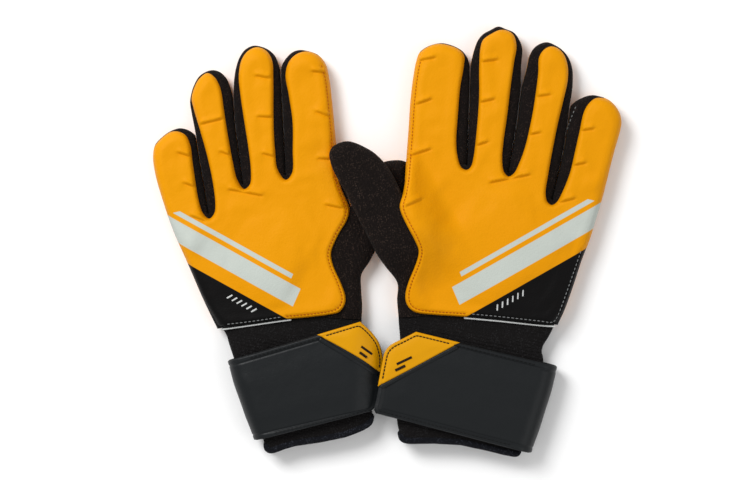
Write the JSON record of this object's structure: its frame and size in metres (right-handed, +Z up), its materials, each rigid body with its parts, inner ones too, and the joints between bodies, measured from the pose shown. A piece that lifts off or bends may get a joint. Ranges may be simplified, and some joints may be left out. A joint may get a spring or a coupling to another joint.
{
  "type": "goalkeeper gloves",
  "caption": "Pair of padded goalkeeper gloves lying palm down, thumbs crossed, with gusseted fingers, mesh thumb sides and hook-and-loop wrist straps.",
  "frame": {"origin": "centre of the pair's outline, on the ground that the palms lie on", "axes": "+Y towards the middle fingertips, +X from the left glove to the right glove, +Z up out of the backs of the hands"},
  "size_m": [0.26, 0.2352, 0.0295],
  "materials": {
    "palm_foam": "smooth latex foam, bright orange-yellow",
    "back_foam": "smooth moulded foam with raised flex bars, bright orange-yellow",
    "gusset_fabric": "matt black padded knit",
    "thumb_mesh": "open black mesh with a faint warm speckle",
    "piping": "white bound cord",
    "sleeve_knit": "black ribbed stretch knit",
    "strap_webbing": "smooth charcoal elastic, satin",
    "tab": "moulded yellow pull tab",
    "hook_and_loop": "black hook-and-loop fastener"
  },
  "bodies": {
    "right_hand": {"right_palm_foam": "palm_foam", "right_back_panel": "back_foam", "right_back_piping": "piping", "right_thumb_side_mesh": "thumb_mesh", "right_index_middle_web": "gusset_fabric", "right_middle_ring_web": "gusset_fabric", "right_ring_pinky_web": "gusset_fabric", "right_sleeve": "sleeve_knit", "right_mouth_binding": "sleeve_knit", "right_strap_wrap": "strap_webbing", "right_loop_patch": "hook_and_loop"},
    "right_index_finger": {"right_index_back": "back_foam", "right_index_gusset": "gusset_fabric", "right_index_palm": "palm_foam"},
    "right_middle_finger": {"right_middle_back": "back_foam", "right_middle_gusset": "gusset_fabric", "right_middle_palm": "palm_foam"},
    "right_ring_finger": {"right_ring_back": "back_foam", "right_ring_gusset": "gusset_fabric", "right_ring_palm": "palm_foam"},
    "right_pinky_finger": {"right_pinky_back": "back_foam", "right_pinky_gusset": "gusset_fabric", "right_pinky_palm": "palm_foam"},
    "right_thumb": {"right_thumb_shell": "thumb_mesh", "right_thumb_palm": "palm_foam"},
    "right_strap": {"right_strap_flap": "strap_webbing", "right_strap_tab": "tab", "right_hook_patch": "hook_and_loop"},
    "left_hand": {"left_palm_foam": "palm_foam", "left_back_panel": "back_foam", "left_back_piping": "piping", "left_thumb_side_mesh": "thumb_mesh", "left_index_middle_web": "gusset_fabric", "left_middle_ring_web": "gusset_fabric", "left_ring_pinky_web": "gusset_fabric", "left_sleeve": "sleeve_knit", "left_mouth_binding": "sleeve_knit", "left_strap_wrap": "strap_webbing", "left_loop_patch": "hook_and_loop"},
    "left_index_finger": {"left_index_back": "back_foam", "left_index_gusset": "gusset_fabric", "left_index_palm": "palm_foam"},
    "left_middle_finger": {"left_middle_back": "back_foam", "left_middle_gusset": "gusset_fabric", "left_middle_palm": "palm_foam"},
    "left_ring_finger": {"left_ring_back": "back_foam", "left_ring_gusset": "gusset_fabric", "left_ring_palm": "palm_foam"},
    "left_pinky_finger": {"left_pinky_back": "back_foam", "left_pinky_gusset": "gusset_fabric", "left_pinky_palm": "palm_foam"},
    "left_thumb": {"left_thumb_shell": "thumb_mesh", "left_thumb_palm": "palm_foam"},
    "left_strap": {"left_strap_flap": "strap_webbing", "left_strap_tab": "tab", "left_hook_patch": "hook_and_loop"}
  },
  "joints": [
    {"name": "right_glove_lift", "type": "slide", "parent": "left_hand", "child": "right_hand", "axis": [0, 0, 1], "range_m": [0, 0.06]},
    {"name": "right_index_bend", "type": "hinge", "parent": "right_hand", "child": "right_index_finger", "pos_m": [0.02659, 0.04542, 0.008], "axis": [0.9976, -0.0698, 0], "range_deg": [-60, 20], "stiffness_Nm_per_rad": 0.05},
    {"name": "right_middle_bend", "type": "hinge", "parent": "right_hand", "child": "right_middle_finger", "pos_m": [0.05549, 0.04442, 0.008], "axis": [0.9954, -0.0958, 0], "range_deg": [-60, 20], "stiffness_Nm_per_rad": 0.05},
    {"name": "right_ring_bend", "type": "hinge", "parent": "right_hand", "child": "right_ring_finger", "pos_m": [0.08079, 0.04142, 0.008], "axis": [0.9882, -0.153, 0], "range_deg": [-60, 20], "stiffness_Nm_per_rad": 0.05},
    {"name": "right_pinky_bend", "type": "hinge", "parent": "right_hand", "child": "right_pinky_finger", "pos_m": [0.10659, 0.02592, 0.008], "axis": [0.9751, -0.2215, 0], "range_deg": [-60, 20], "stiffness_Nm_per_rad": 0.05},
    {"name": "right_thumb_bend", "type": "hinge", "parent": "right_hand", "child": "right_thumb", "pos_m": [-0.00491, 0.01662, 0.022], "axis": [0.8634, 0.5045, 0], "range_deg": [0, 20], "stiffness_Nm_per_rad": 0.05},
    {"name": "left_index_bend", "type": "hinge", "parent": "left_hand", "child": "left_index_finger", "pos_m": [-0.04261, 0.04042, 0.008], "axis": [0.9973, 0.0732, 0], "range_deg": [-60, 0], "stiffness_Nm_per_rad": 0.05},
    {"name": "left_middle_bend", "type": "hinge", "parent": "left_hand", "child": "left_middle_finger", "pos_m": [-0.06891, 0.03892, 0.008], "axis": [0.9965, 0.0837, 0], "range_deg": [-60, 20], "stiffness_Nm_per_rad": 0.05},
    {"name": "left_ring_bend", "type": "hinge", "parent": "left_hand", "child": "left_ring_finger", "pos_m": [-0.09111, 0.03462, 0.008], "axis": [0.9898, 0.1426, 0], "range_deg": [-60, 20], "stiffness_Nm_per_rad": 0.05},
    {"name": "left_pinky_bend", "type": "hinge", "parent": "left_hand", "child": "left_pinky_finger", "pos_m": [-0.11061, 0.01942, 0.008], "axis": [0.972, 0.2351, 0], "range_deg": [-60, 20], "stiffness_Nm_per_rad": 0.05},
    {"name": "left_thumb_bend", "type": "hinge", "parent": "left_hand", "child": "left_thumb", "pos_m": [-0.01111, 0.01142, 0.008], "axis": [0.8634, -0.5045, 0], "range_deg": [-45, 0], "stiffness_Nm_per_rad": 0.05},
    {"name": "right_strap_open", "type": "hinge", "parent": "right_hand", "child": "right_strap", "pos_m": [0.08539, -0.09318, 0.018], "axis": [0.2837, 0.9589, 0], "range_deg": [0, 150]},
    {"name": "left_strap_open", "type": "hinge", "parent": "left_hand", "child": "left_strap", "pos_m": [-0.07911, -0.08858, 0.018], "axis": [0.3473, -0.9377, 0], "range_deg": [0, 150]}
  ]
}
